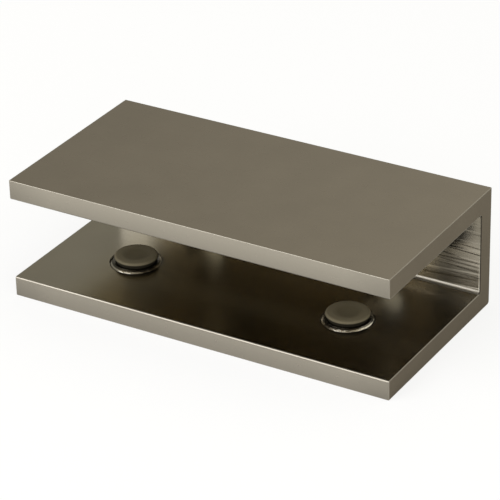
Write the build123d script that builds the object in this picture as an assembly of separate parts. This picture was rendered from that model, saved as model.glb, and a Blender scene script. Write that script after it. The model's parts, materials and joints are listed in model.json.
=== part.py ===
from build123d import *
from math import cos, radians
import os

# Glass clamp: a U channel fixed to a wall, with two grub screws that lift swivel pads against a glass shelf.
# Millimetres. The origin is the middle of the back face, +X runs along the channel, +Y points into the wall, +Z is up.

# Body
body_length = 80.0
jaw_depth = 40.0
glass_gap = 16.4
jaw_thickness = 4.0
wall_thickness = 4.0
root_fillet = 0.6
heel_radius = 0.6
edge_break = 0.25

# Countersunk holes for the wall screws
wall_hole_end_distance = 20.0
wall_hole_diameter = 5.0
countersink_diameter = 9.6
countersink_angle = 90.0

# Clamping screws, metric fine thread
thread_diameter = 10.0
thread_pitch = 1.0
thread_clearance = 0.05
thread_mouth_chamfer = 0.2
screw_end_distance = 17.0
screw_setback = 16.0
screw_recess = 0.1
screw_proud = 0.45
screw_end_chamfer = 0.5
socket_width = 5.0
socket_lead_in = 0.3
socket_web = 0.8

# Pads
pad_stand = 1.65
pad_clearance = 0.26
pad_rim_width = 1.6
pad_rim_round = 0.5
pad_dish_depth = 0.2
spigot_diameter = 4.0
spigot_length = 1.1
spigot_clearance = 0.05
spigot_end_clearance = 0.1
bead_height = 0.25
bead_rise = 0.5

# A basic metric thread is this share of its pitch deep, on the radius
THREAD_DEPTH_SHARE = 0.5413
HEX_SIDES = 6

# Places and sizes worked out from the values above
half_length = body_length / 2
half_height = glass_gap / 2 + jaw_thickness
lower_jaw_top = -glass_gap / 2
underside = -half_height
screw_x = half_length - screw_end_distance
screw_y = screw_setback - jaw_depth
thread_radius = thread_diameter / 2
thread_minor_radius = thread_radius - THREAD_DEPTH_SHARE * thread_pitch
screw_radius = thread_radius - thread_clearance
screw_bottom = underside + screw_recess
screw_top = lower_jaw_top + screw_proud
screw_length = screw_top - screw_bottom
spigot_radius = spigot_diameter / 2
spigot_bore_depth = spigot_length + spigot_end_clearance
socket_depth = screw_length - spigot_bore_depth - socket_web
socket_corner_radius = socket_width / 2 / cos(radians(180 / HEX_SIDES))
pad_radius = thread_minor_radius - pad_clearance
pad_thickness = pad_stand - screw_proud


def channel_section():
    """Return the U section, drawn with its mouth towards -Y: the jaws' roots and the lower heel are rounded."""
    with BuildSketch(Plane.YZ.offset(-half_length)) as section:
        with Locations((-jaw_depth / 2, 0)):
            Rectangle(jaw_depth, 2 * half_height)
        with Locations((-(jaw_depth + wall_thickness) / 2, 0)):
            Rectangle(jaw_depth - wall_thickness, glass_gap, mode=Mode.SUBTRACT)
        roots = section.vertices().group_by(Axis.X)[1]
        heel = section.vertices().group_by(Axis.X)[-1].sort_by(Axis.Y)[0]
        fillet(roots, radius=root_fillet)
        fillet(heel, radius=heel_radius)
    return section.sketch


def tapped_hole():
    """Return the space of one tapped hole, out to the thread's roots, with a chamfered mouth at each face."""
    mouth_radius = thread_radius + thread_mouth_chamfer
    with BuildPart() as space:
        with BuildSketch(Plane.XZ):
            with BuildLine():
                Polyline(
                    (0, underside),
                    (mouth_radius, underside),
                    (thread_radius, underside + thread_mouth_chamfer),
                    (thread_radius, lower_jaw_top - thread_mouth_chamfer),
                    (mouth_radius, lower_jaw_top),
                    (0, lower_jaw_top),
                    close=True,
                )
            make_face()
        revolve(axis=Axis.Z)
    return space.part


def make_clamp_body():
    """Milled channel with broken edges, two tapped holes in the lower jaw and two countersunk holes in the wall."""
    with BuildPart() as body:
        extrude(channel_section(), amount=body_length)
        ends = body.faces().filter_by(Axis.X).edges()
        long_edges = body.edges().filter_by(Axis.X)
        lips = long_edges.group_by(Axis.Y)[0]
        top_back = long_edges.group_by(Axis.Z)[-1].sort_by(Axis.Y)[-1]
        chamfer(ends + lips + [top_back], length=edge_break)
        with Locations((screw_x, screw_y, 0), (-screw_x, screw_y, 0)):
            add(tapped_hole(), mode=Mode.SUBTRACT)
        inner_wall = Plane(origin=(0, -wall_thickness, 0), x_dir=(1, 0, 0), z_dir=(0, -1, 0))
        wall_hole_spacing = body_length - 2 * wall_hole_end_distance
        with Locations(inner_wall):
            with GridLocations(wall_hole_spacing, 0, 2, 1):
                CounterSinkHole(
                    wall_hole_diameter / 2,
                    countersink_diameter / 2,
                    depth=wall_thickness,
                    counter_sink_angle=countersink_angle,
                )
    return body.part


def spigot_space(radius, length):
    """Return a spigot, or the bore that it fits, below the screw's top: a snap bead runs round its middle."""
    bead_middle = screw_top - spigot_length / 2
    with BuildPart() as space:
        with BuildSketch(Plane.XZ):
            with BuildLine():
                Polyline(
                    (0, screw_top),
                    (radius, screw_top),
                    (radius, bead_middle + bead_rise / 2),
                    (radius + bead_height, bead_middle),
                    (radius, bead_middle - bead_rise / 2),
                    (radius, screw_top - length),
                    (0, screw_top - length),
                    close=True,
                )
            make_face()
        revolve(axis=Axis.Z)
    return space.part


def make_clamp_screw():
    """Grub screw: hexagon socket from below, snap bore for the pad's spigot on top, both ends chamfered."""
    with BuildPart() as screw:
        with Locations((0, 0, screw_bottom)):
            Cylinder(screw_radius, screw_length, align=(Align.CENTER, Align.CENTER, Align.MIN))
        chamfer(screw.edges().filter_by(GeomType.CIRCLE), length=screw_end_chamfer)
        with BuildSketch(Plane.XY.offset(screw_bottom)):
            RegularPolygon(socket_width / 2, HEX_SIDES, major_radius=False)
        extrude(amount=socket_depth, mode=Mode.SUBTRACT)
        with Locations((0, 0, screw_bottom)):
            Cone(
                bottom_radius=socket_corner_radius + socket_lead_in / 2,
                top_radius=socket_width / 2 - socket_lead_in / 2,
                height=socket_lead_in,
                align=(Align.CENTER, Align.CENTER, Align.MIN),
                mode=Mode.SUBTRACT,
            )
        add(spigot_space(spigot_radius + spigot_clearance, spigot_bore_depth), mode=Mode.SUBTRACT)
    return screw.part


def make_screw_pad():
    """Swivel pad: a disc with a dished face and a soft rim, on a short spigot that snaps into the screw."""
    dish_radius = pad_radius - pad_rim_width
    face = screw_top + pad_thickness
    with BuildPart() as pad:
        with BuildSketch(Plane.XZ) as half_disc:
            with BuildLine():
                TangentArc((0, face - pad_dish_depth), (dish_radius, face), tangent=(1, 0))
                Polyline(
                    (dish_radius, face),
                    (pad_radius, face),
                    (pad_radius, screw_top),
                    (0, screw_top),
                    (0, face - pad_dish_depth),
                )
            make_face()
            rim = half_disc.vertices().group_by(Axis.X)[-1].sort_by(Axis.Y)[-1]
            fillet(rim, radius=pad_rim_round)
        revolve(axis=Axis.Z)
        add(spigot_space(spigot_radius, spigot_length))
    return pad.part


def at_each_screw(solid, name):
    """Write the left and right copy of a piece that is modelled on the Z axis."""
    for side, x in (("left", -screw_x), ("right", screw_x)):
        export_step(Pos(x, screw_y, 0) * solid, f"parts/{name}_{side}.step")


os.makedirs("parts", exist_ok=True)
export_step(make_clamp_body(), "parts/clamp_body.step")
at_each_screw(make_clamp_screw(), "clamp_screw")
at_each_screw(make_screw_pad(), "screw_pad")
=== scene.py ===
"""Glass clamp for a shelf: the milled channel, its two clamping screws and their swivel pads.

Lengths are millimetres in the part's own frame, unless a docstring says metres: +X runs along
the channel, +Y points into the wall and +Z is up. The finished pieces are in metres.
"""

import json
import logging
import math
from dataclasses import dataclass, field
from enum import Enum, IntEnum

import bmesh
import bpy
from bmesh.types import BMEdge, BMesh, BMVert
from mathutils import Matrix, Vector


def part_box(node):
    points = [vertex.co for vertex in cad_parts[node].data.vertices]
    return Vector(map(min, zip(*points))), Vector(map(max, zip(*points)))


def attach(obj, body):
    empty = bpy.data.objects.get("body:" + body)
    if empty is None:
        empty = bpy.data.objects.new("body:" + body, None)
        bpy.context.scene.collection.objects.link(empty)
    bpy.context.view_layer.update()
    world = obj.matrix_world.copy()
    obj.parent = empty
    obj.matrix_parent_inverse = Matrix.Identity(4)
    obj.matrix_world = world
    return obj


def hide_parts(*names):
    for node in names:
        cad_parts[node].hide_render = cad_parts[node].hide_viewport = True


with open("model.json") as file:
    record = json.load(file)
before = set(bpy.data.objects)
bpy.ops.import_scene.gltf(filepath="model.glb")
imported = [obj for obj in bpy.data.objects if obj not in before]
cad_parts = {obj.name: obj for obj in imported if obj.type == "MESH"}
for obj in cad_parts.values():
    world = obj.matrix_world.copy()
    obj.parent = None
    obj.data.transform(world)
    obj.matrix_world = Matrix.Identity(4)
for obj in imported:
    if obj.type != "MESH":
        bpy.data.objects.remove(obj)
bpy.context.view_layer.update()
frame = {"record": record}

log = logging.getLogger("glass_clamp")

Pair = tuple[float, float]
Triple = tuple[float, float, float]
Colour = tuple[float, float, float]
Profile = list[Pair]
Socket = bpy.types.NodeSocket

# A millimetre in metres
MM = 0.001

# Lengths in millimetres
WELD = 0.0005  # points nearer to each other than this become one
ON_PLANE = 0.0001  # points nearer to a cutting plane than this lie on it
INSIDE = 0.001  # a face counts as below a surface from this depth on
TOUCH = 0.01  # places nearer to each other than this are the same
SPARE = 0.3  # how far a cutter stands out of what it cuts
FLOOR_GAP = 0.02  # between the clamp and the floor

# Shares of a face's normal that lie along an axis
ALIGNED = 0.999  # from this on the face looks along the axis
END_LEAN = 0.99  # from this on it belongs to an end of the channel
PAINTED_DARK_EDGE_LEAN = 0.1  # from this on it leans towards an end

# Nearly all of a noise lies between these
NOISE_LOW = 0.3
NOISE_HIGH = 0.7

HEX_SIDES = 6


class Side(Enum):
    """The two clamping screws, seen from the mouth of the channel."""

    LEFT = "left"
    RIGHT = "right"


class Cut(Enum):
    """What a cutter does to the piece that it meets."""

    AWAY = "DIFFERENCE"
    KEEP = "INTERSECT"


class Zone(IntEnum):
    """The surfaces of the channel, in the order of its materials."""

    OUTSIDE = 0
    LIP = 1
    END = 2
    JAW = 3
    WALL = 4
    ROOT = 5
    PAINTED_DARK_EDGE = 6
    EDGE = 7
    TURNED = 8
    UNDERSIDE = 9


# Materials


class NodeBoard:
    """The node tree of one procedural material, with short ways to add what the finishes share."""

    # Turned rings stray from round: cells per millimetre, and how far in millimetres
    stray_cells: Triple = (1.6, 1.6, 1.6)
    stray: float = 0.5
    ring_detail: float = 2.0

    def __init__(self, name: str) -> None:
        """Make an empty material with a Principled shader.

        Args:
            name: Name of the material.
        """
        self.material = bpy.data.materials.new(name)
        self.material.use_nodes = True
        self.tree = self.material.node_tree
        self.tree.nodes.clear()
        self.shader = self.node("ShaderNodeBsdfPrincipled")
        output = self.node("ShaderNodeOutputMaterial")
        self.link(self.shader.outputs["BSDF"], output.inputs["Surface"])
        self.place = self.node("ShaderNodeTexCoord").outputs["Object"]

    def node(self, kind: str) -> bpy.types.Node:
        """Add a node of one kind and return it."""
        return self.tree.nodes.new(kind)

    def link(self, source: Socket, target: Socket) -> None:
        """Join two sockets."""
        self.tree.links.new(source, target)

    def noise(self, scale: Triple, detail: float = 2.0, roughness: float = 0.5,
              lift: float = 0.0) -> Socket:
        """Return a noise between 0 and 1.

        Args:
            scale: Cells per millimetre along X, Y and Z.
            detail: Octaves of finer noise.
            roughness: Share that each octave keeps.
            lift: How many cells the pattern is moved along Z.

        Returns:
            The noise value.
        """
        mapping = self.node("ShaderNodeMapping")
        mapping.inputs["Location"].default_value = (0.0, 0.0, lift)
        mapping.inputs["Scale"].default_value = [cells / MM for cells in scale]
        self.link(self.place, mapping.inputs["Vector"])
        noise = self.node("ShaderNodeTexNoise")
        noise.inputs["Scale"].default_value = 1.0
        noise.inputs["Detail"].default_value = detail
        noise.inputs["Roughness"].default_value = roughness
        self.link(mapping.outputs["Vector"], noise.inputs["Vector"])
        return noise.outputs["Fac"]

    def span(self, value: Socket, low: float, high: float, start: float = NOISE_LOW,
             end: float = NOISE_HIGH) -> Socket:
        """Return a value moved from one range into another.

        Args:
            value: The value to move.
            low: Result at the start of the range.
            high: Result at its end.
            start: Start of the range.
            end: End of the range.

        Returns:
            The moved value, clamped.
        """
        span = self.node("ShaderNodeMapRange")
        limits = {"From Min": start, "From Max": end, "To Min": low, "To Max": high}
        for name, number in limits.items():
            span.inputs[name].default_value = number
        self.link(value, span.inputs["Value"])
        return span.outputs["Result"]

    def share(self, length: Socket, levels: Pair) -> Socket:
        """Return how far a length lies between two levels in millimetres, from 0 to 1."""
        return self.span(length, 0.0, 1.0, *(level * MM for level in levels))

    def mix(self, share: Socket, first: Colour | Socket, second: Colour | Socket) -> Socket:
        """Return a colour between two.

        Args:
            share: Share of the second, from 0 to 1.
            first: A colour, or a socket that gives one.
            second: The other colour or socket.

        Returns:
            The mixed colour.
        """
        mix = self.node("ShaderNodeMix")
        mix.data_type = "RGBA"
        for name, colour in (("A", first), ("B", second)):
            if isinstance(colour, tuple):
                mix.inputs[name].default_value = (*colour, 1.0)
            else:
                self.link(colour, mix.inputs[name])
        self.link(share, mix.inputs["Factor"])
        return mix.outputs["Result"]

    def from_axis(self, place: Pair) -> Socket:
        """Return the distance from an upright axis that stands at the same place on both sides.

        Args:
            place: How far the axis stands from the middle along X and along Y, in millimetres.

        Returns:
            The distance in metres.
        """
        folded = self.node("ShaderNodeVectorMath")
        folded.operation = "ABSOLUTE"
        self.link(self.place, folded.inputs[0])
        level = self.node("ShaderNodeVectorMath")
        level.operation = "MULTIPLY"
        level.inputs[1].default_value = (1.0, 1.0, 0.0)
        self.link(folded.outputs["Vector"], level.inputs[0])
        distance = self.node("ShaderNodeVectorMath")
        distance.operation = "DISTANCE"
        distance.inputs[1].default_value = (place[0] * MM, place[1] * MM, 0.0)
        self.link(level.outputs["Vector"], distance.inputs[0])
        return distance.outputs["Value"]

    def along(self, axis: str) -> Socket:
        """Return the place along one axis.

        Args:
            axis: X, Y or Z.

        Returns:
            The place in metres.
        """
        parts = self.node("ShaderNodeSeparateXYZ")
        self.link(self.place, parts.inputs["Vector"])
        return parts.outputs[axis]

    def from_centre(self, centre: float) -> Socket:
        """Return the distance along X from a centre.

        Args:
            centre: Where the centre lies along X, in millimetres.

        Returns:
            The distance in metres.
        """
        offset = self.node("ShaderNodeMath")
        offset.operation = "SUBTRACT"
        offset.inputs[1].default_value = centre * MM
        self.link(self.along("X"), offset.inputs[0])
        distance = self.node("ShaderNodeMath")
        distance.operation = "ABSOLUTE"
        self.link(offset.outputs["Value"], distance.inputs[0])
        return distance.outputs["Value"]

    def rings(self, place: Pair, cells: float) -> Socket:
        """Return a noise that runs in rings round an upright axis, as turning leaves it.

        Args:
            place: How far the axis stands from the middle along X and along Y, in millimetres.
            cells: Cells per millimetre of radius.

        Returns:
            The noise value.
        """
        offset = self.span(self.noise(self.stray_cells), -self.stray * MM, self.stray * MM)
        radius = self.node("ShaderNodeMath")
        radius.operation = "ADD"
        self.link(self.from_axis(place), radius.inputs[0])
        self.link(offset, radius.inputs[1])
        noise = self.node("ShaderNodeTexNoise")
        noise.noise_dimensions = "1D"
        noise.inputs["Scale"].default_value = cells / MM
        noise.inputs["Detail"].default_value = self.ring_detail
        self.link(radius.outputs["Value"], noise.inputs["W"])
        return noise.outputs["Fac"]

    def bump(self, height: Socket, depth: float, under: Socket | None = None) -> Socket:
        """Return a normal with a relief.

        Args:
            height: Relief from 0 to 1.
            depth: Depth of the relief in millimetres.
            under: A normal that this relief lies on.

        Returns:
            The bumped normal.
        """
        bump = self.node("ShaderNodeBump")
        bump.inputs["Strength"].default_value = 1.0
        bump.inputs["Distance"].default_value = depth * MM
        self.link(height, bump.inputs["Height"])
        if under is not None:
            self.link(under, bump.inputs["Normal"])
        return bump.outputs["Normal"]


@dataclass(frozen=True)
class Relief:
    """Marks of a tool or a brush: cells per millimetre along each axis, and how deep they are."""

    scale: Triple
    depth: float
    detail: float = 3.0
    keep: float = 0.6
    lines: Pair = (0.0, 1.0)
    lift: float = 0.0

    def noise(self, board: NodeBoard) -> Socket:
        """Return the noise that the marks follow."""
        return board.noise(self.scale, self.detail, self.keep, self.lift)

    def make(self, board: NodeBoard) -> Socket:
        """Return the marks' height, from 0 to 1, between the two levels of the noise in lines."""
        return board.span(self.noise(board), 0.0, 1.0, *self.lines)


@dataclass(frozen=True)
class Middle:
    """Painted light and shade along the length: another tone in the middle, fading out between two
    distances from a centre.
    """

    colour: Colour
    levels: Pair
    centre: float = 0.0

    def make(self, board: NodeBoard, tone: Socket) -> Socket:
        """Return a colour with this tone laid over its middle."""
        outwards = board.share(board.from_centre(self.centre), self.levels)
        return board.mix(outwards, self.colour, tone)


@dataclass(frozen=True)
class Fade:
    """Painted light and shade by height: a tone that changes from the first shade at the low level
    to the second.
    """

    shades: Pair
    levels: Pair
    repeat: float = 0.0

    def make(self, board: NodeBoard, tone: Socket) -> Socket:
        """Shade a colour by its height.

        Args:
            board: The material's board.
            tone: The colour.

        Returns:
            The shaded colour, the same again every repeat millimetres where a repeat is given.
        """
        height = board.along("Z")
        if self.repeat:
            folded = board.node("ShaderNodeMath")
            folded.operation = "FLOORED_MODULO"
            folded.inputs[1].default_value = self.repeat * MM
            board.link(height, folded.inputs[0])
            height = folded.outputs["Value"]
        shade = board.span(height, *self.shades, *(level * MM for level in self.levels))
        shaded = board.node("ShaderNodeVectorMath")
        shaded.operation = "SCALE"
        board.link(tone, shaded.inputs[0])
        board.link(shade, shaded.inputs["Scale"])
        return shaded.outputs["Vector"]


@dataclass(frozen=True)
class NickelFinish:
    """Satin nickel plate over brass, with the tool's or the brush's marks."""

    name: str
    colour: Colour = (0.335, 0.300, 0.240)
    shade: float = 1.0
    tarnish: float = 0.03
    cloud_cells: Triple = (0.12, 0.12, 0.12)
    cloud_detail: float = 3.0
    roughness: Pair = (0.27, 0.31)
    glance: float = 1.0
    grain: Relief = Relief((0.4, 3.0, 3.0), 0.0004)
    marks: tuple[Relief, ...] = ()
    painted_middles: tuple[Middle, ...] = ()
    painted_fades: tuple[Fade, ...] = ()

    def tone(self, change: float) -> Colour:
        """Return the plate's colour at its shade, lighter or darker by a share."""
        shade = self.shade * (1.0 + change)
        return tuple(c * shade for c in self.colour)

    def make(self) -> bpy.types.Material:
        """Make the material.

        Returns:
            The metal with uneven tone, gloss and grain.
        """
        board = NodeBoard(self.name)
        shader = board.shader
        shader.inputs["Metallic"].default_value = 1.0
        tint = (self.glance, self.glance, self.glance, 1.0)
        shader.inputs["Specular Tint"].default_value = tint
        cloud = board.span(board.noise(self.cloud_cells, self.cloud_detail), 0.0, 1.0)
        tone = board.mix(cloud, self.tone(-self.tarnish), self.tone(self.tarnish))
        for change in (*self.painted_middles, *self.painted_fades):
            tone = change.make(board, tone)
        board.link(tone, shader.inputs["Base Color"])
        grain = self.grain.noise(board)
        board.link(board.span(grain, *self.roughness), shader.inputs["Roughness"])
        normal = board.bump(grain, self.grain.depth)
        for marks in self.marks:
            normal = board.bump(marks.make(board), marks.depth, normal)
        board.link(normal, shader.inputs["Normal"])
        return board.material


@dataclass(frozen=True)
class SteelFinish:
    """Bright plated steel of the grub screws, with the rings that turning leaves, and painted
    shade on the top face.
    """

    name: str = "turned_steel"
    # Painted shade: the top face, under the pad, is dark; the flanks keep the bright steel
    face: Colour = (0.14, 0.13, 0.11)
    flank: Colour = (0.66, 0.62, 0.54)
    flank_levels: Pair = (4.60, 4.72)
    roughness: Pair = (0.16, 0.26)
    gloss_cells: Triple = (1.5, 1.5, 4.0)
    screw_place: Pair = (23.0, 24.0)
    ring_cells: float = 3.0
    ring_depth: float = 0.02
    dents: Relief = Relief((1.8, 1.8, 1.8), 0.06, 1.0, 0.5)

    def make(self) -> bpy.types.Material:
        """Make the material.

        Returns:
            The steel with rings round the screw's axis.
        """
        board = NodeBoard(self.name)
        shader = board.shader
        shader.inputs["Metallic"].default_value = 1.0
        outer = board.share(board.from_axis(self.screw_place), self.flank_levels)
        board.link(board.mix(outer, self.face, self.flank), shader.inputs["Base Color"])
        gloss = board.span(board.noise(self.gloss_cells), *self.roughness)
        board.link(gloss, shader.inputs["Roughness"])
        turned = board.bump(board.rings(self.screw_place, self.ring_cells), self.ring_depth)
        normal = board.bump(self.dents.make(board), self.dents.depth, turned)
        board.link(normal, shader.inputs["Normal"])
        return board.material


@dataclass(frozen=True)
class RubberFinish:
    """Hard matte rubber of the pads, a little paler towards the rim, with painted shade on its
    side.
    """

    name: str = "pad_rubber"
    middle: Colour = (0.104, 0.088, 0.054)
    rim_colour: Colour = (0.138, 0.118, 0.075)
    # Painted shade: the pad's side, under its rim, is dark
    side: Colour = (0.018, 0.015, 0.009)
    rim_levels: Pair = (1.8, 2.9)
    painted_shade_levels: Pair = (-6.86, -7.02)
    screw_place: Pair = (23.0, 24.0)
    roughness: Pair = (0.62, 0.74)
    gloss: float = 0.18
    grain: Relief = Relief((9.0, 9.0, 9.0), 0.004, 2.0, 0.5)

    def make(self) -> bpy.types.Material:
        """Make the material.

        Returns:
            The rubber with a fine moulded grain, paler towards the rim and painted dark on its
            side as shade.
        """
        board = NodeBoard(self.name)
        shader = board.shader
        shader.inputs["Specular IOR Level"].default_value = self.gloss
        rimward = board.share(board.from_axis(self.screw_place), self.rim_levels)
        below = board.share(board.along("Z"), self.painted_shade_levels)
        face = board.mix(rimward, self.middle, self.rim_colour)
        board.link(board.mix(below, face, self.side), shader.inputs["Base Color"])
        grain = self.grain.noise(board)
        board.link(board.span(grain, *self.roughness), shader.inputs["Roughness"])
        board.link(board.bump(grain, self.grain.depth), shader.inputs["Normal"])
        return board.material


CHANNEL_FINISHES: dict[Zone, NickelFinish] = {
    Zone.OUTSIDE: NickelFinish("nickel_outside", colour=(0.335, 0.292, 0.238), shade=0.92),
    Zone.LIP: NickelFinish(
        "nickel_lip",
        colour=(0.342, 0.314, 0.265),
        shade=0.80,
        painted_middles=(Middle((0.342, 0.314, 0.265), (31.0, 41.0)),),
        # Painted light and shade: the lips are lighter in the middle of their length and towards
        # their upper edges. They are 20.4 mm apart, so one fade serves both
        painted_fades=(Fade((0.85, 1.11), (8.2, 12.2), repeat=20.4),),
    ),
    # Painted shade: the ends are darkened, and their grazing sheen dimmed, for the shadowed floor
    # that they mirror
    Zone.END: NickelFinish(
        "nickel_end",
        colour=(0.340, 0.294, 0.226),
        shade=0.56,
        roughness=(0.30, 0.36),
        glance=0.45,
    ),
    Zone.JAW: NickelFinish(
        "nickel_jaw",
        colour=(0.338, 0.307, 0.248),
        shade=0.86,
        roughness=(0.19, 0.24),
        grain=Relief((0.4, 3.0, 3.0), 0.0002),
        # Painted shade: the middle of the lower jaw's face is darker and yellower, as the shade
        # inside the slot
        painted_middles=(Middle((0.280, 0.242, 0.160), (17.0, 31.0)),),
    ),
    Zone.WALL: NickelFinish(
        "nickel_milled_wall",
        colour=(0.335, 0.328, 0.305),
        shade=0.95,
        roughness=(0.12, 0.16),
        grain=Relief((0.05, 2.0, 4.0), 0.0006),
        # Long waves, fine strokes and single scores
        marks=(
            Relief((0.01, 0.1, 0.11), 0.1, detail=1.0, lift=9.2),
            Relief((0.04, 0.5, 0.9), 0.01, detail=2.0),
            Relief((0.03, 0.5, 0.6), 0.015, detail=1.0, keep=0.5, lines=(0.50, 0.58), lift=1.7),
        ),
        # Painted light and shade: the wall is darker and yellower inside the slot and lighter
        # where it nears the ends
        painted_middles=(
            Middle((0.128, 0.122, 0.108), (31.0, 36.7), centre=2.5),
            Middle((0.300, 0.272, 0.215), (28.0, 32.0)),
            Middle((0.230, 0.206, 0.160), (20.5, 25.0)),
        ),
        # Painted light and shade: the wall is lighter at its foot and darker towards its top
        painted_fades=(Fade((1.5, 1.0), (-6.6, -4.4)), Fade((1.0, 0.66), (0.5, 3.0))),
    ),
    # Painted highlight: the roots of the jaws are lighter than the plate
    Zone.ROOT: NickelFinish(
        "nickel_root",
        colour=(0.335, 0.318, 0.282),
        shade=1.55,
        roughness=(0.42, 0.50),
    ),
    # Painted shade: the wall's edges at the ends are dark, as the shade of the slot that they face
    Zone.PAINTED_DARK_EDGE: NickelFinish("nickel_painted_dark_edge", shade=0.15, roughness=(0.40, 0.50), glance=0.3),
    # Painted shade: the broken edges are a little darker, which damps the lamp's highlight on them
    Zone.EDGE: NickelFinish(
        "nickel_edge",
        colour=(0.335, 0.308, 0.262),
        shade=0.85,
        roughness=(0.28, 0.34),
    ),
    # Painted shade: the holes' turned faces are darkened, which dims their reflection in the lower
    # jaw
    Zone.TURNED: NickelFinish(
        "nickel_turned",
        shade=0.50,
        roughness=(0.20, 0.28),
        grain=Relief((2.0, 2.0, 6.0), 0.0006),
    ),
    # Painted shade: the upper jaw's underside is darker and yellower, as the shade inside the slot
    Zone.UNDERSIDE: NickelFinish(
        "nickel_underside",
        colour=(0.335, 0.282, 0.185),
        shade=0.78,
        roughness=(0.19, 0.24),
        grain=Relief((0.4, 3.0, 3.0), 0.0002),
    ),
}


# Mesh tools


def revolve(profile: Profile, steps: int, lift: float = 0.0, turns: float = 1.0) -> BMesh:
    """Spin a profile of radii and heights about the Z axis.

    Args:
        profile: Pairs of radius and height.
        steps: Steps in one turn.
        lift: Rise in one turn, for a thread.
        turns: How many turns.

    Returns:
        The spun skin, with its doubles merged and its faces outwards.
    """
    bm = bmesh.new()
    verts = [bm.verts.new((r, 0.0, z)) for r, z in profile]
    edges = [bm.edges.new(pair) for pair in zip(verts, verts[1:])]
    bmesh.ops.spin(bm, geom=verts + edges, cent=(0, 0, 0), axis=(0, 0, 1),
                   dvec=(0, 0, lift / steps), angle=math.tau * turns,
                   steps=round(steps * turns), use_merge=lift == 0.0)
    bmesh.ops.remove_doubles(bm, verts=bm.verts, dist=WELD)
    bmesh.ops.recalc_face_normals(bm, faces=bm.faces)
    return bm


def to_object(bm: BMesh, name: str) -> bpy.types.Object:
    """Turn a bmesh into a linked object, and free it.

    Args:
        bm: The mesh.
        name: Name of the object and of its mesh.

    Returns:
        The object.
    """
    mesh = bpy.data.meshes.new(name)
    bm.to_mesh(mesh)
    bm.free()
    piece = bpy.data.objects.new(name, mesh)
    bpy.context.scene.collection.objects.link(piece)
    return piece


def apply_modifiers(piece: bpy.types.Object) -> None:
    """Fix a piece's modifiers in its mesh.

    Args:
        piece: The piece.
    """
    graph = bpy.context.evaluated_depsgraph_get()
    mesh = bpy.data.meshes.new_from_object(piece.evaluated_get(graph), depsgraph=graph)
    old = piece.data
    mesh.name = old.name
    piece.modifiers.clear()
    piece.data = mesh
    bpy.data.meshes.remove(old)


def carve(piece: bpy.types.Object, cutter: BMesh, how: Cut, places: list[Vector]) -> None:
    """Cut a piece with copies of one cutter.

    Args:
        piece: The piece to cut.
        cutter: The cutter's mesh, freed afterwards.
        how: Whether the cutter's inside goes away or is kept.
        places: Where the copies stand.
    """
    tool = to_object(cutter, "cutter")
    for place in places:
        tool.location = place
        boolean = piece.modifiers.new("cut", "BOOLEAN")
        boolean.operation = how.value
        boolean.solver = "EXACT"
        boolean.object = tool
        bpy.context.view_layer.update()
        apply_modifiers(piece)
    bpy.data.objects.remove(tool)


def finish_piece(piece: bpy.types.Object, sharp_angle: float) -> None:
    """Bring a piece to metres, and give it clean shading.

    Args:
        piece: The piece, in millimetres.
        sharp_angle: Edges bent by more degrees than this stay sharp.
    """
    bm = bmesh.new()
    bm.from_mesh(piece.data)
    bmesh.ops.remove_doubles(bm, verts=bm.verts, dist=WELD)
    bmesh.ops.dissolve_degenerate(bm, edges=bm.edges, dist=WELD)
    bmesh.ops.scale(bm, vec=(MM, MM, MM), verts=bm.verts)
    bm.to_mesh(piece.data)
    bm.free()
    piece.data.shade_smooth()
    piece.data.set_sharp_from_angle(angle=math.radians(sharp_angle))
    weighted = piece.modifiers.new("even_shading", "WEIGHTED_NORMAL")
    weighted.keep_sharp = True
    apply_modifiers(piece)


# The pieces


@dataclass(frozen=True)
class Thread:
    """A right-hand metric thread. The flank angle is half the angle between two flanks."""

    pitch: float = 1.0
    crest_width: float = 0.125
    flank_angle: float = 30.0
    steps: int = 72

    def solid(self, crest: float, root: float, low: float, high: float) -> BMesh:
        """Make a closed threaded bar.

        Args:
            crest: Radius of the crests.
            root: Radius of the roots.
            low: Height of the lower end.
            high: Height of the upper end.

        Returns:
            The bar on the Z axis, with flat ends.
        """
        half_crest = self.crest_width / 2
        half_root = half_crest + (crest - root) * math.tan(math.radians(self.flank_angle))
        start = math.floor(low / self.pitch) * self.pitch - self.pitch
        profile = [
            (root, start - self.pitch / 2),
            (root, start - half_root),
            (crest, start - half_crest),
            (crest, start + half_crest),
            (root, start + half_root),
            (root, start + self.pitch / 2),
        ]
        turns = math.ceil((high - start) / self.pitch) + 1
        bm = revolve(profile, self.steps, lift=self.pitch, turns=turns)
        for height, way in ((low, -1), (high, 1)):
            cut = bmesh.ops.bisect_plane(bm, geom=bm.verts[:] + bm.edges[:] + bm.faces[:],
                                         dist=ON_PLANE, plane_co=(0, 0, height),
                                         plane_no=(0, 0, way), clear_outer=True)
            rim = [e for e in cut["geom_cut"] if isinstance(e, BMEdge)]
            bmesh.ops.edgeloop_fill(bm, edges=rim)
        bmesh.ops.recalc_face_normals(bm, faces=bm.faces)
        return bm


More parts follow.
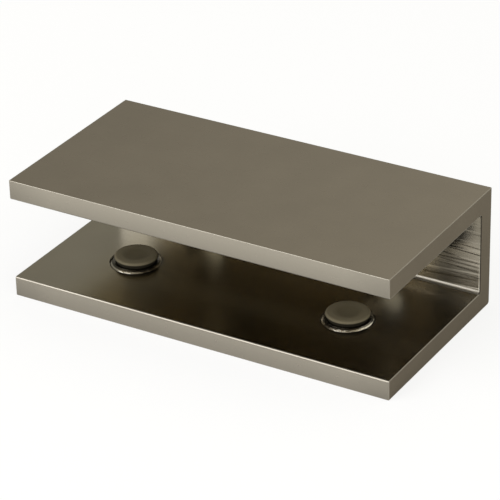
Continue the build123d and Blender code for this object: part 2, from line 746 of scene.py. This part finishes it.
@dataclass
class Channel:
    """The clamp's body, milled from one bar: two jaws on a back wall."""

    length: float
    depth: float
    height: float
    screw_places: list[Vector]
    wall_hole_places: list[Vector]
    wall_hole_radius: float
    jaw: float = 4.0
    wall: float = 4.0
    root_round: float = 0.6
    round_segments: int = 6
    edge_break: float = 0.14
    mouth_break: float = 0.38
    break_segments: int = 3
    corner_angle: float = 40.0
    thread_radius: float = 5.0
    thread_root: float = 4.459
    thread_spare: float = 0.7
    mouth_radius: float = 5.2
    mouth_tip: float = 0.1
    mouth_steps: int = 96
    countersink_radius: float = 4.8
    countersink_spare: float = 0.5
    countersink_steps: int = 64
    sharp_angle: float = 32.0
    thread: Thread = field(default_factory=Thread)

    @property
    def gap(self) -> float:
        """Half the height of the slot for the glass."""
        return self.height / 2 - self.jaw

    def section(self) -> list[Pair]:
        """Return the corners of the U section.

        Returns:
            Y and Z of each corner.
        """
        top, inner = self.height / 2, self.gap
        return [(0, -top), (0, top), (-self.depth, top), (-self.depth, inner),
                (-self.wall, inner), (-self.wall, -inner), (-self.depth, -inner),
                (-self.depth, -top)]

    def bar(self) -> BMesh:
        """Extrude the section, round its roots and heel and break its edges.

        Returns:
            The plain channel.
        """
        bm = bmesh.new()
        verts = [bm.verts.new((-self.length / 2, y, z)) for y, z in self.section()]
        grown = bmesh.ops.extrude_face_region(bm, geom=[bm.faces.new(verts)])
        moved = [v for v in grown["geom"] if isinstance(v, BMVert)]
        bmesh.ops.translate(bm, verts=moved, vec=(self.length, 0, 0))
        bmesh.ops.recalc_face_normals(bm, faces=bm.faces)
        for is_chosen, size, segments in (
            (self.is_round, self.root_round, self.round_segments),
            (self.is_slot_mouth, self.mouth_break, self.break_segments),
            (self.is_slot_side, self.mouth_break, self.break_segments),
            (self.is_corner, self.edge_break, self.break_segments),
        ):
            chosen = [e for e in bm.edges if is_chosen(e)]
            bmesh.ops.bevel(bm, geom=chosen, offset=size, offset_type="OFFSET", affect="EDGES",
                            segments=segments, profile=0.5, material=-1)
        return bm

    def is_round(self, edge: BMEdge) -> bool:
        """Tell whether an edge is one of the jaws' roots or the lower heel.

        Args:
            edge: An edge of the sharp channel.

        Returns:
            Whether it is to be rounded.
        """
        x, y, z = (edge.verts[0].co + edge.verts[1].co) / 2
        at_root = abs(y + self.wall) < TOUCH and abs(abs(z) - self.gap) < TOUCH
        at_heel = abs(y) < TOUCH and abs(z + self.height / 2) < TOUCH
        return abs(x) < TOUCH and (at_root or at_heel)

    def is_slot_mouth(self, edge: BMEdge) -> bool:
        """Tell whether an edge is one of the two that the glass slides past."""
        x, y, z = (edge.verts[0].co + edge.verts[1].co) / 2
        return max(abs(x), abs(y + self.depth), abs(abs(z) - self.gap)) < TOUCH

    def is_slot_side(self, edge: BMEdge) -> bool:
        """Tell whether an edge is where the slot's bottom runs out at an end."""
        x, y, z = (edge.verts[0].co + edge.verts[1].co) / 2
        return max(abs(z), abs(y + self.wall), abs(abs(x) - self.length / 2)) < TOUCH

    def is_corner(self, edge: BMEdge) -> bool:
        """Tell whether an edge is still sharp."""
        return edge.calc_face_angle(0.0) > math.radians(self.corner_angle)

    def cut_holes(self, piece: bpy.types.Object) -> None:
        """Cut the two tapped holes and the two countersunk holes.

        Args:
            piece: The plain channel, in millimetres.
        """
        low, high = -self.height / 2, -self.gap
        tap = self.thread.solid(self.thread_radius, self.thread_root, low - self.thread_spare,
                                high + self.thread_spare)
        carve(piece, tap, Cut.AWAY, self.screw_places)
        rise = self.mouth_radius - self.thread_root + self.mouth_tip
        for face, way in ((low, 1.0), (high, -1.0)):
            outside, inside = face - way * SPARE, face + way * rise
            mouth = [(0, outside), (self.mouth_radius + SPARE, outside),
                     (self.thread_root - self.mouth_tip, inside), (0, inside)]
            carve(piece, revolve(mouth, self.mouth_steps), Cut.AWAY, self.screw_places)
        sink = self.countersink_radius - self.wall_hole_radius
        hole = [(0, -self.wall - SPARE), (self.countersink_radius + SPARE, -self.wall - SPARE),
                (self.wall_hole_radius, sink - self.wall),
                (self.wall_hole_radius, self.countersink_spare), (0, self.countersink_spare)]
        cutter = revolve(hole, self.countersink_steps)
        bmesh.ops.rotate(cutter, verts=cutter.verts, cent=(0, 0, 0),
                         matrix=Matrix.Rotation(math.radians(-90), 3, "X"))
        carve(piece, cutter, Cut.AWAY, self.wall_hole_places)

    def zone_of(self, face: bpy.types.MeshPolygon) -> Zone:
        """Tell which surface a face belongs to.

        Args:
            face: A face of the finished mesh, in metres.

        Returns:
            The zone.
        """
        x, y, z = face.center / MM
        normal = face.normal
        at_screw = any(math.hypot(x - p.x, y - p.y) < self.mouth_radius
                       for p in self.screw_places)
        at_hole = any(math.hypot(x - p.x, z - p.z) < self.countersink_radius
                      for p in self.wall_hole_places)
        at_wall = (-self.wall - self.root_round < y < -self.wall / 2
                   and abs(z) < self.gap + TOUCH and abs(normal.x) < END_LEAN)
        if at_screw and z < -self.gap - INSIDE or at_hole and y > -self.wall + INSIDE:
            return Zone.TURNED
        if normal.z * math.copysign(1.0, -z) > ALIGNED and abs(abs(z) - self.gap) < TOUCH:
            return Zone.JAW if z < 0 else Zone.UNDERSIDE
        # Painted shade: the wall's edges at the ends get a dark colour
        if at_wall and abs(normal.x) > PAINTED_DARK_EDGE_LEAN:
            return Zone.PAINTED_DARK_EDGE
        if at_wall:
            return Zone.WALL if normal.y < -ALIGNED else Zone.ROOT
        if normal.y < -ALIGNED:
            return Zone.LIP
        if abs(normal.x) > ALIGNED:
            return Zone.END
        if abs(normal.z) > ALIGNED or normal.y > ALIGNED:
            return Zone.OUTSIDE
        return Zone.EDGE

    def make(self) -> bpy.types.Object:
        """Build and dress the channel.

        Returns:
            The finished piece.
        """
        piece = to_object(self.bar(), "channel")
        self.cut_holes(piece)
        finish_piece(piece, self.sharp_angle)
        for zone in Zone:
            piece.data.materials.append(CHANNEL_FINISHES[zone].make())
        for face in piece.data.polygons:
            face.material_index = self.zone_of(face)
        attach(piece, "clamp")
        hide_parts("clamp_body")
        return piece


@dataclass
class Spigot:
    """The stub on a pad that snaps into its screw, with a bead round its middle."""

    radius: float = 2.0
    length: float = 1.1
    bead: float = 0.25
    bead_rise: float = 0.5

    def profile(self, top: float, extra_radius: float = 0.0,
                extra_length: float = 0.0) -> Profile:
        """Return the spigot's side and end.

        Args:
            top: Height of the face that it stands on.
            extra_radius: Added all round, for the bore.
            extra_length: Added at the end, for the bore.

        Returns:
            Radii and heights, from the axis up to that face.
        """
        radius, middle = self.radius + extra_radius, top - self.length / 2
        end = top - self.length - extra_length
        return [(0, end), (radius, end), (radius, middle - self.bead_rise / 2),
                (radius + self.bead, middle), (radius, middle + self.bead_rise / 2),
                (radius, top)]


@dataclass
class GrubScrew:
    """One clamping screw: threaded, with a hexagon socket below and a snap bore above."""

    side: Side
    place: Vector
    low: float
    high: float
    crest: float = 4.95
    root: float = 4.35
    thread_spare: float = 0.6
    chamfer: float = 0.5
    blank_steps: int = 96
    socket: float = 5.0
    socket_depth: float = 2.35
    socket_lead: float = 0.3
    socket_spare: float = 1.0
    bore_clearance: float = 0.05
    bore_end_clearance: float = 0.1
    bore_steps: int = 72
    sharp_angle: float = 32.0
    thread: Thread = field(default_factory=Thread)
    spigot: Spigot = field(default_factory=Spigot)

    @property
    def socket_corner(self) -> float:
        """Radius of the socket's corners."""
        return self.socket / 2 / math.cos(math.radians(180 / HEX_SIDES))

    def blank(self) -> BMesh:
        """Return the chamfered blank that trims the thread's ends.

        Returns:
            The space that the screw stays inside.
        """
        end, wide = self.crest - self.chamfer, self.crest + SPARE
        rise = self.chamfer + SPARE
        return revolve([(0, self.low), (end, self.low), (wide, self.low + rise),
                        (wide, self.high - rise), (end, self.high), (0, self.high)],
                       self.blank_steps)

    def key_socket(self) -> BMesh:
        """Return the hexagonal space for the key, open below.

        Returns:
            A six-sided bar.
        """
        bm = bmesh.new()
        grown = bmesh.ops.create_cone(bm, cap_ends=True, segments=HEX_SIDES,
                                      radius1=self.socket_corner, radius2=self.socket_corner,
                                      depth=self.socket_depth + self.socket_spare)
        middle = self.low + (self.socket_depth - self.socket_spare) / 2
        bmesh.ops.translate(bm, verts=grown["verts"], vec=(0, 0, middle))
        return bm

    def socket_mouth(self) -> BMesh:
        """Return the conical lead-in of the socket.

        Returns:
            A cone that narrows upwards.
        """
        wide = self.socket_corner + self.socket_lead / 2 + SPARE
        narrow = self.socket_corner - self.socket_lead / 2
        outside, inside = self.low - SPARE, self.low + self.socket_lead
        return revolve([(0, outside), (wide, outside), (narrow, inside), (0, inside)],
                       self.bore_steps)

    def snap_bore(self) -> BMesh:
        """Return the space for the pad's spigot, open above.

        Returns:
            The spigot's shape with some clearance.
        """
        bore = self.spigot.profile(self.high, self.bore_clearance, self.bore_end_clearance)
        outside = self.high + SPARE
        return revolve(bore + [(bore[-1][0], outside), (0, outside)], self.bore_steps)

    def make(self) -> bpy.types.Object:
        """Build and dress the screw.

        Returns:
            The finished piece.
        """
        bar = self.thread.solid(self.crest, self.root, self.low - self.thread_spare,
                                self.high + self.thread_spare)
        piece = to_object(bar, f"{self.side.value}_grub_screw")
        carve(piece, self.blank(), Cut.KEEP, [Vector()])
        for space in (self.key_socket(), self.socket_mouth(), self.snap_bore()):
            carve(piece, space, Cut.AWAY, [Vector()])
        piece.data.transform(Matrix.Translation(self.place))
        finish_piece(piece, self.sharp_angle)
        piece.data.materials.append(SteelFinish().make())
        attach(piece, f"{self.side.value}_screw")
        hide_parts(f"clamp_screw_{self.side.value}")
        return piece


@dataclass
class SwivelPad:
    """One pad: a moulded disc with a shallow dish and a soft rim, on its spigot."""

    side: Side
    place: Vector
    seat: float
    face: float
    radius: float
    clearance: float = 0.02
    foot_inset: float = 0.35
    foot_height: float = 0.6
    side_inset: float = 0.04
    rim_round: float = 0.5
    rim_steps: int = 8
    dish_radius: float = 2.8
    dish_depth: float = 0.2
    dish_power: float = 1.5
    dish_steps: int = 12
    turn_steps: int = 96
    sharp_angle: float = 40.0
    spigot: Spigot = field(default_factory=Spigot)

    def profile(self) -> Profile:
        """Return the pad's half section.

        Returns:
            Radii and heights from the spigot's end round to the middle of the dish.
        """
        foot = self.seat + self.clearance
        points = self.spigot.profile(foot)
        points += [(self.radius - self.foot_inset, foot),
                   (self.radius - self.side_inset, foot + self.foot_height)]
        centre = (self.radius - self.rim_round, self.face - self.rim_round)
        for step in range(self.rim_steps + 1):
            angle = math.radians(90 * step / self.rim_steps)
            points.append((centre[0] + self.rim_round * math.cos(angle),
                           centre[1] + self.rim_round * math.sin(angle)))
        for step in range(self.dish_steps + 1):
            share = 1 - step / self.dish_steps
            sunk = self.dish_depth * (1 - share ** 2) ** self.dish_power
            points.append((self.dish_radius * share, self.face - sunk))
        return points

    def make(self) -> bpy.types.Object:
        """Build and dress the pad.

        Returns:
            The finished piece.
        """
        bm = revolve(self.profile(), self.turn_steps)
        bmesh.ops.translate(bm, verts=bm.verts, vec=self.place)
        piece = to_object(bm, f"{self.side.value}_swivel_pad")
        finish_piece(piece, self.sharp_angle)
        piece.data.materials.append(RubberFinish().make())
        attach(piece, f"{self.side.value}_pad")
        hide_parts(f"screw_pad_{self.side.value}")
        return piece


# The studio


@dataclass(frozen=True)
class SoftBox:
    """A square lamp that looks at the clamp, with its size and distance in metres."""

    name: str
    way: Triple
    size: float
    power: float
    distance: float = 1.0

    def hang(self) -> None:
        """Hang the lamp in its place."""
        lamp = bpy.data.lights.new(self.name, "AREA")
        lamp.shape = "SQUARE"
        lamp.size = self.size
        lamp.energy = self.power
        holder = bpy.data.objects.new(self.name, lamp)
        way = Vector(self.way).normalized()
        holder.location = way * self.distance
        holder.rotation_euler = way.to_track_quat("Z", "Y").to_euler()
        bpy.context.scene.collection.objects.link(holder)


@dataclass
class Studio:
    """Pale floor, a key light at the front left, a fill at the front right and the camera.

    The floor's height and size are in metres, and the camera's aim and distance in millimetres.
    """

    floor_height: float
    floor_size: float = 6.0
    floor_colour: Colour = (0.92, 0.92, 0.92)
    floor_white: float = 0.8
    mirrored_white: float = 0.3
    dim: Colour = (0.20, 0.193, 0.162)
    bright: Colour = (1.15, 1.12, 0.98)
    bright_way: Triple = (0.38, 0.42, 0.82)
    bright_levels: Pair = (0.30, 1.0)
    lamps: tuple[SoftBox, ...] = (
        SoftBox("key", (-0.47, -0.74, 0.48), 0.9, 9.0),
        SoftBox("fill", (0.62, -0.68, 0.38), 0.6, 4.0),
    )
    aim: Triple = (1.593, -22.717, 0.0)
    azimuth: float = 31.135
    elevation: float = 28.334
    distance: float = 503.27
    roll: float = -1.247
    lens: float = 195.13
    sensor_width: float = 36.0

    def add_floor(self) -> None:
        """Lay the floor under the clamp."""
        bm = bmesh.new()
        bmesh.ops.create_grid(bm, x_segments=1, y_segments=1, size=self.floor_size / 2)
        bmesh.ops.translate(bm, verts=bm.verts, vec=(0, 0, self.floor_height))
        floor = to_object(bm, "floor")
        board = NodeBoard("floor_paper")
        board.shader.inputs["Base Color"].default_value = (*self.floor_colour, 1.0)
        board.shader.inputs["Roughness"].default_value = 1.0
        board.shader.inputs["Specular IOR Level"].default_value = 0.0
        self.whiten(board)
        floor.data.materials.append(board.material)

    def whiten(self, board: NodeBoard) -> None:
        """Add plain white to the floor as the camera, metal and glass see it.

        Args:
            board: The floor's material. What is left of its own shading keeps the shadow.
        """
        path = board.node("ShaderNodeLightPath")
        share = board.span(path.outputs["Is Camera Ray"], 0.0, self.floor_white, 0.0, 1.0)
        for name in ("Is Glossy Ray", "Is Transmission Ray"):
            mirrored = board.span(path.outputs[name], 0.0, self.mirrored_white, 0.0, 1.0)
            either = board.node("ShaderNodeMath")
            either.operation = "MAXIMUM"
            board.link(share, either.inputs[0])
            board.link(mirrored, either.inputs[1])
            share = either.outputs["Value"]
        white = board.node("ShaderNodeEmission")
        both = board.node("ShaderNodeMixShader")
        output = next(n for n in board.tree.nodes if n.bl_idname == "ShaderNodeOutputMaterial")
        board.link(share, both.inputs["Fac"])
        board.link(board.shader.outputs["BSDF"], both.inputs[1])
        board.link(white.outputs["Emission"], both.inputs[2])
        board.link(both.outputs["Shader"], output.inputs["Surface"])

    def add_world(self) -> None:
        """Light the room all round, brighter on one side and from above."""
        world = bpy.data.worlds.new("room")
        bpy.context.scene.world = world
        world.use_nodes = True
        nodes, links = world.node_tree.nodes, world.node_tree.links
        nodes.clear()
        output = nodes.new("ShaderNodeOutputWorld")
        background = nodes.new("ShaderNodeBackground")
        place = nodes.new("ShaderNodeTexCoord")
        along = nodes.new("ShaderNodeVectorMath")
        along.operation = "DOT_PRODUCT"
        along.inputs[1].default_value = Vector(self.bright_way).normalized()
        share = nodes.new("ShaderNodeMapRange")
        share.inputs["From Min"].default_value = self.bright_levels[0]
        share.inputs["From Max"].default_value = self.bright_levels[1]
        mix = nodes.new("ShaderNodeMix")
        mix.data_type = "RGBA"
        mix.inputs["A"].default_value = (*self.dim, 1.0)
        mix.inputs["B"].default_value = (*self.bright, 1.0)
        links.new(place.outputs["Generated"], along.inputs[0])
        links.new(along.outputs["Value"], share.inputs["Value"])
        links.new(share.outputs["Result"], mix.inputs["Factor"])
        links.new(mix.outputs["Result"], background.inputs["Color"])
        links.new(background.outputs["Background"], output.inputs["Surface"])

    def add_camera(self) -> None:
        """Stand the camera where the photograph was taken from."""
        azimuth, elevation = math.radians(self.azimuth), math.radians(self.elevation)
        roll = math.radians(self.roll)
        ahead = Vector((-math.cos(elevation) * math.sin(azimuth),
                        math.cos(elevation) * math.cos(azimuth), -math.sin(elevation)))
        level = ahead.cross(Vector((0, 0, 1))).normalized()
        upright = level.cross(ahead)
        right = level * math.cos(roll) + upright * math.sin(roll)
        up = upright * math.cos(roll) - level * math.sin(roll)
        data = bpy.data.cameras.new("camera")
        data.lens = self.lens
        data.sensor_width = self.sensor_width
        camera = bpy.data.objects.new("camera", data)
        place = (Vector(self.aim) - ahead * self.distance) * MM
        turn = Matrix((right, up, -ahead)).transposed().to_4x4()
        camera.matrix_world = Matrix.Translation(place) @ turn
        bpy.context.scene.collection.objects.link(camera)
        bpy.context.scene.camera = camera

    def make(self) -> None:
        """Set the floor, the light and the camera."""
        self.add_floor()
        self.add_world()
        for lamp in self.lamps:
            lamp.hang()
        self.add_camera()
        bpy.context.scene.view_settings.view_transform = "Standard"


def box_mm(node: str) -> tuple[Vector, Vector]:
    """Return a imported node's lowest and highest corners in millimetres."""
    low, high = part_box(node)
    return low / MM, high / MM


def wall_hole_data() -> tuple[list[Vector], float]:
    """Read the wall screws' places and radius from the record's mount.

    Returns:
        The middles of the holes at the back face, and their radius.
    """
    mount = next(m for m in frame["record"]["mounts"] if m["kind"] == "bolt_pattern")
    half = mount["dims"]["spacing_x_mm"] / 2
    centre = Vector(mount["pos_m"]) / MM
    places = [centre + Vector((way * half, 0, 0)) for way in (-1, 1)]
    return places, mount["dims"]["hole_r_mm"]


def report(piece: bpy.types.Object) -> None:
    """Log a piece's name and size."""
    size = " x ".join(f"{s / MM:.2f}" for s in piece.dimensions)
    log.info("%s: %s mm, %d faces", piece.name, size, len(piece.data.polygons))


def main() -> None:
    """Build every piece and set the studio."""
    logging.basicConfig(level=logging.INFO, format="%(name)s: %(message)s")
    low, high = box_mm("clamp_body")
    screws, pads = [], []
    for side in Side:
        screw_low, screw_high = box_mm(f"clamp_screw_{side.value}")
        pad_low, pad_high = box_mm(f"screw_pad_{side.value}")
        middle = (screw_low + screw_high) / 2
        place = Vector((middle.x, middle.y, 0))
        pad_radius = (pad_high.x - pad_low.x) / 2
        screws.append(GrubScrew(side, place, screw_low.z, screw_high.z))
        pads.append(SwivelPad(side, place, screw_high.z, pad_high.z, pad_radius))
    channel = Channel(high.x - low.x, high.y - low.y, high.z - low.z, [s.place for s in screws],
                      *wall_hole_data())
    for part in [channel, *screws, *pads]:
        report(part.make())
    Studio(floor_height=(low.z - FLOOR_GAP) * MM).make()
    bpy.context.view_layer.update()


if __name__ == "__main__":
    main()
